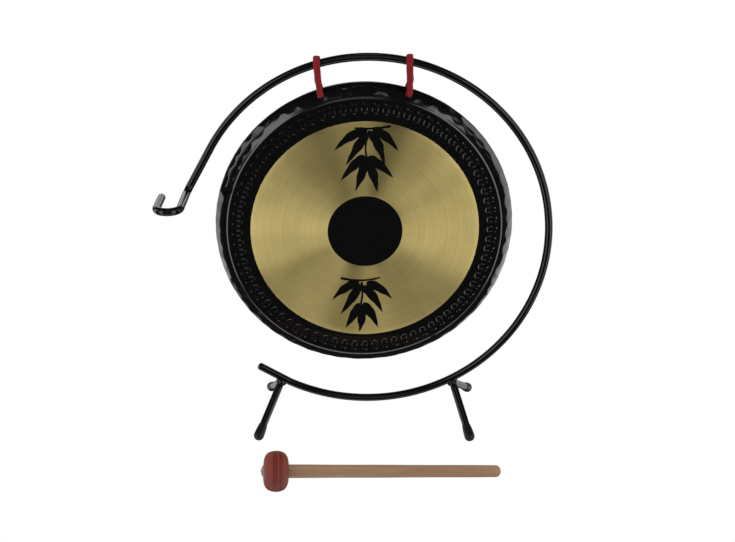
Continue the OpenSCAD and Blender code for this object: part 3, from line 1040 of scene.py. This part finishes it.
def painted_sprays():
    """Two brush-painted sprays of leaves in black lacquer, as thin raised paint."""
    points, faces = [], []
    sunk = -0.02 * MM
    for k, (widths, *stroke) in enumerate(TOP_SPRAY + LOW_SPRAY):
        left, right = brush_stroke(stroke, widths)
        lift = (0.05 + 0.004 * k) * MM
        base = len(points)
        for near, far in zip(left, right):
            for (x, y), height in ((near, sunk), (near, lift), (far, lift), (far, sunk)):
                points.append(tuple(on_gong(x * MM, y * MM, height)))
        for i in range(len(left) - 1):
            a = base + 4 * i
            faces += [(a + j, a + (j + 1) % 4, a + 4 + (j + 1) % 4, a + 4 + j) for j in range(4)]
        last = base + 4 * (len(left) - 1)
        faces += [(base, base + 1, base + 2, base + 3), (last + 3, last + 2, last + 1, last)]
    return new_piece("painted_sprays", points, faces, [LACQUER])


finish_piece(painted_sprays(), "hanging_gong", "gong_brass")

# ---------------------------------------------------------------- the cords


def smooth_path(points, step):
    """A smooth line through points, with places about step apart."""
    points = np.array(points, float)
    ends = np.vstack([2 * points[0] - points[1], points, 2 * points[-1] - points[-2]])
    line = []
    for a, b, c, d in zip(ends, ends[1:], ends[2:], ends[3:]):
        count = max(2, math.ceil(np.linalg.norm(c - b) / step))
        square, cube = 2 * a - 5 * b + 4 * c - d, 3 * b - a - 3 * c + d
        for t in np.arange(count) / count:
            line.append(0.5 * (2 * b + (c - a) * t + square * t**2 + cube * t**3))
    line.append(points[-1])
    line = np.array(line)
    along = np.concatenate([[0], np.cumsum(np.linalg.norm(np.diff(line, axis=0), axis=1))])
    at = np.linspace(0, along[-1], math.ceil(along[-1] / step) + 1)
    return np.stack([np.interp(at, along, line[:, k]) for k in range(3)], axis=1)


CORD_X = {"left": -40 * MM, "right": 34.2 * MM}
REAR_SPREAD = 1.035
REAR_SHIFT = math.radians(0.25)
# The middle of a cord's bend over the rod, and the knot's place inside the gong
CORD_BEND_R = 4.85 * MM
KNOT_R, KNOT_HEIGHT = GONG_R - 21 * MM, -12 * MM
KNOT_SIZE = 1.55 * MM
# A cord's way round the rim, out and up from it, and a knot's two loose ends, in millimetres
RIM_BENDS = ((6, -1.5), (0.5, -4.6), (-6, -1), (-9.5, 9))
FIRST_END = ((-8.5, 3, -27), (-7, 3, -18), (-3.5, 2.5, -9))
LAST_END = ((3.5, 3.5, -9), (7.5, 5, -18), (9, 6, -26))
# Strands each way round the braid, the length in which one moves over by a strand, and the
# steps of the mesh along the cord and round it
BRAID = 6
BRAID_LAY = 2.6 * MM
BRAID_STEP = 0.33 * MM
BRAID_SIDES = 36


def braid_relief(count):
    """The raised strands of a round braid, for each ring and side of a tube."""
    s = np.arange(count)[:, None] * BRAID_STEP / BRAID_LAY
    turn = np.arange(BRAID_SIDES)[None, :] / BRAID_SIDES * BRAID
    one, other = turn + s, turn - s
    over = (np.floor(one) + np.floor(other)) % 2
    across_one = np.sin(math.pi * (one % 1))
    across_other = np.sin(math.pi * (other % 1))
    top = np.where(over > 0, across_one, across_other)
    return 0.13 * MM * (np.sqrt(np.maximum(top, 0)) - 0.75)


def cord_tube(name, path, round_ends=False, flat_near=None):
    """A braided cord. It is pressed flat where it goes over the rod at flat_near."""
    path = smooth_path(path, BRAID_STEP)
    side = flat = None
    if flat_near is not None:
        side = np.array([1.0, 0, 0])
        away = np.linalg.norm(path - flat_near, axis=1)
        flat = np.clip((13 * MM - away) / (6 * MM), 0, 1)
        flat = flat * flat * (3 - 2 * flat)
    radius = np.full(len(path), CORD_R)
    if round_ends:
        reach = CORD_R * 0.7
        from_end = np.minimum(np.arange(len(path)), np.arange(len(path))[::-1]) * BRAID_STEP
        short = 1 - np.clip(from_end / reach, 0, 1)
        radius = CORD_R * np.sqrt(np.clip(1 - short**2, 0.02, 1))
    relief = braid_relief(len(path)) * (radius / CORD_R)[:, None]
    rows = tube_rows(path, radius, BRAID_SIDES, relief, side, flat)
    piece = skin(name, [[path[0]], *rows, [path[-1]]], materials=[CORD])
    s = np.arange(len(path)) * BRAID_STEP
    turn = np.arange(BRAID_SIDES) / BRAID_SIDES * 2 * math.pi
    u, v = CORD_R * np.cos(turn), CORD_R * np.sin(turn)
    rings = [np.stack([np.full(BRAID_SIDES, at), u, v], axis=1) for at in s]
    keep_local(piece, np.concatenate([[[0, 0, 0]], *rings, [[s[-1], 0, 0]]]))
    return piece


def cord_top(word):
    """The middle of the ring's rod under a cord."""
    x = CORD_X[word]
    return RING + np.array([x, 0, math.sqrt(RING_R**2 - x**2)])


def cord_route(word, angle):
    """From the knot, out through the hole, up over the ring and back round the rim."""
    top = cord_top(word)
    rear_angle = angle * REAR_SPREAD + REAR_SHIFT
    seat = unit(gong_place(1, 0, angle) - gong_place(0, 0, angle)) * 0.4 * MM
    knot = gong_place(KNOT_R, KNOT_HEIGHT, angle)
    out = along_hole(angle, 4.2 * MM) - seat
    r, h = RIM
    bends = [gong_place(r + dr * MM, h + dh * MM, rear_angle) for dr, dh in RIM_BENDS]
    front, rear = top - [0, CORD_BEND_R, 0], top + [0, CORD_BEND_R, 0]
    shares = (0.04, 0.09, 0.2, 0.4, 0.7)
    path = [knot, along_hole(angle, -5 * MM) - seat, along_hole(angle, 0) - seat, out]
    path += [front + (out - front) * share for share in shares[::-1]]
    for turn in np.radians(np.linspace(180, 0, 13)):
        path.append(top + CORD_BEND_R * np.array([0, math.cos(turn), math.sin(turn)]))
    path += [rear + (bends[0] - rear) * share for share in shares]
    return path + bends + [knot]


def knot_route(angle):
    """An overhand knot whose two ends hang down inside the gong."""
    knot = gong_place(KNOT_R, KNOT_HEIGHT, angle)
    path = []
    for t in np.linspace(0.5, 2 * math.pi - 0.5, 22):
        x = math.sin(t) + 2 * math.sin(2 * t)
        y = math.cos(t) - 2 * math.cos(2 * t)
        z = -math.sin(3 * t)
        path.append(knot + KNOT_SIZE * np.array([x, z * 1.3, -y]))
    first, last = ([knot + np.array(p) * MM for p in end] for end in (FIRST_END, LAST_END))
    return first + path + last


for side, word in WORDS.items():
    angle = side * HOLE_ANGLE
    loop = cord_tube(f"{word}_hanging_cord", cord_route(word, angle), flat_near=cord_top(word))
    finish_piece(loop, "hanging_gong", "red_cord", f"{word}_cord_loop")
    knot = cord_tube(f"{word}_knot", knot_route(angle), round_ends=True)
    finish_piece(knot, "hanging_gong", "red_cord", f"{word}_cord_knot")

# ---------------------------------------------------------------- the mallet

# The mallet lies on its head and on the end of its grip
DIP = math.asin((HEAD_R - GRIP_END_R) / (GRIP_LEN - GRIP_ROUND))
YAW = math.radians(6)
FLAT_WAY = [math.cos(DIP) * math.cos(YAW), math.cos(DIP) * math.sin(YAW)]
MALLET_WAY = np.array([*FLAT_WAY, -math.sin(DIP)])
# On the head: the place, half width and height of the seam and of the flat band's two edges
SEAM = (1.2 * MM, 0.32 * MM, 0.28 * MM)
BAND_EDGE = (4.6 * MM, 0.5 * MM, 0.12 * MM)
WOBBLE, WOBBLE_LENGTH = 0.16 * MM, 9 * MM


def ridge(x, place, half_width, height):
    return height * math.exp(-(((x - place) / half_width) ** 2))


def mallet_head():
    """Moulded rubber with a raised seam a little off its middle and a shallow flat band."""
    squareness = 2.5
    mouth, bore = HEAD_LEN / 2 - 0.3 * MM, GRIP_R - 0.2 * MM
    outline = [(-mouth, 0), (-mouth, bore)]
    for t in np.linspace(-math.pi / 2, math.pi / 2, 90):
        r = GRIP_R + (HEAD_R - GRIP_R) * abs(math.cos(t)) ** (2 / squareness)
        x = HEAD_LEN / 2 * np.sign(t) * abs(math.sin(t)) ** (2 / squareness)
        outline.append((x, r + ridge(x, *SEAM) - ridge(abs(x), *BAND_EDGE)))
    outline += [(mouth, bore), (mouth, 0)]
    rows, places = turned_rows(outline, HEAD, MALLET_WAY, 96)
    for row in rows:
        for p in row:
            wobble = noise.noise(Vector(p) / WOBBLE_LENGTH) * WOBBLE
            p += unit(p - HEAD + 1e-9) * wobble
        row[:, 2] = np.maximum(row[:, 2], 0)
    piece = skin("rubber_head", rows, materials=[RUBBER])
    keep_local(piece, places)
    return piece


def mallet_handle():
    """A turned handle that goes through the head and ends in a low cone."""
    half = HEAD_LEN / 2
    point = 1.4 * MM
    straight_end = GRIP_LEN - GRIP_ROUND
    outline = [(-half - TIP_LEN, 0), (-half - TIP_LEN * 0.97, point / 2)]
    outline.append((-half - TIP_LEN * 0.85, point))
    for s in np.linspace(0.3, 1, 6):
        outline.append((-half - TIP_LEN * (1 - s), point + (GRIP_R - point) * s))
    outline += [(x, GRIP_R) for x in np.linspace(-half + 1 * MM, half, 6)]
    for s in np.linspace(0, 1, 60)[1:]:
        x = half + (straight_end - half) * s
        ripple = 0.05 * MM * math.sin(x / (11 * MM))
        outline.append((x, GRIP_R + (GRIP_END_R - GRIP_R) * s + ripple))
    for t in np.linspace(0, math.pi / 2, 12)[1:-1]:
        outline.append((straight_end + GRIP_ROUND * math.sin(t), GRIP_END_R * math.cos(t)))
    outline.append((GRIP_LEN, 0))
    rows, places = turned_rows(outline, HEAD, MALLET_WAY, 56)
    bands = [1] * 8 + [0] * (len(rows) - 9)
    piece = skin("wooden_handle", rows, bands, [WOOD, END_GRAIN])
    keep_local(piece, places)
    return piece


finish_piece(mallet_head(), "mallet", "mallet_rubber", "mallet_head")
finish_piece(mallet_handle(), "mallet", "handle_wood", "mallet_handle")
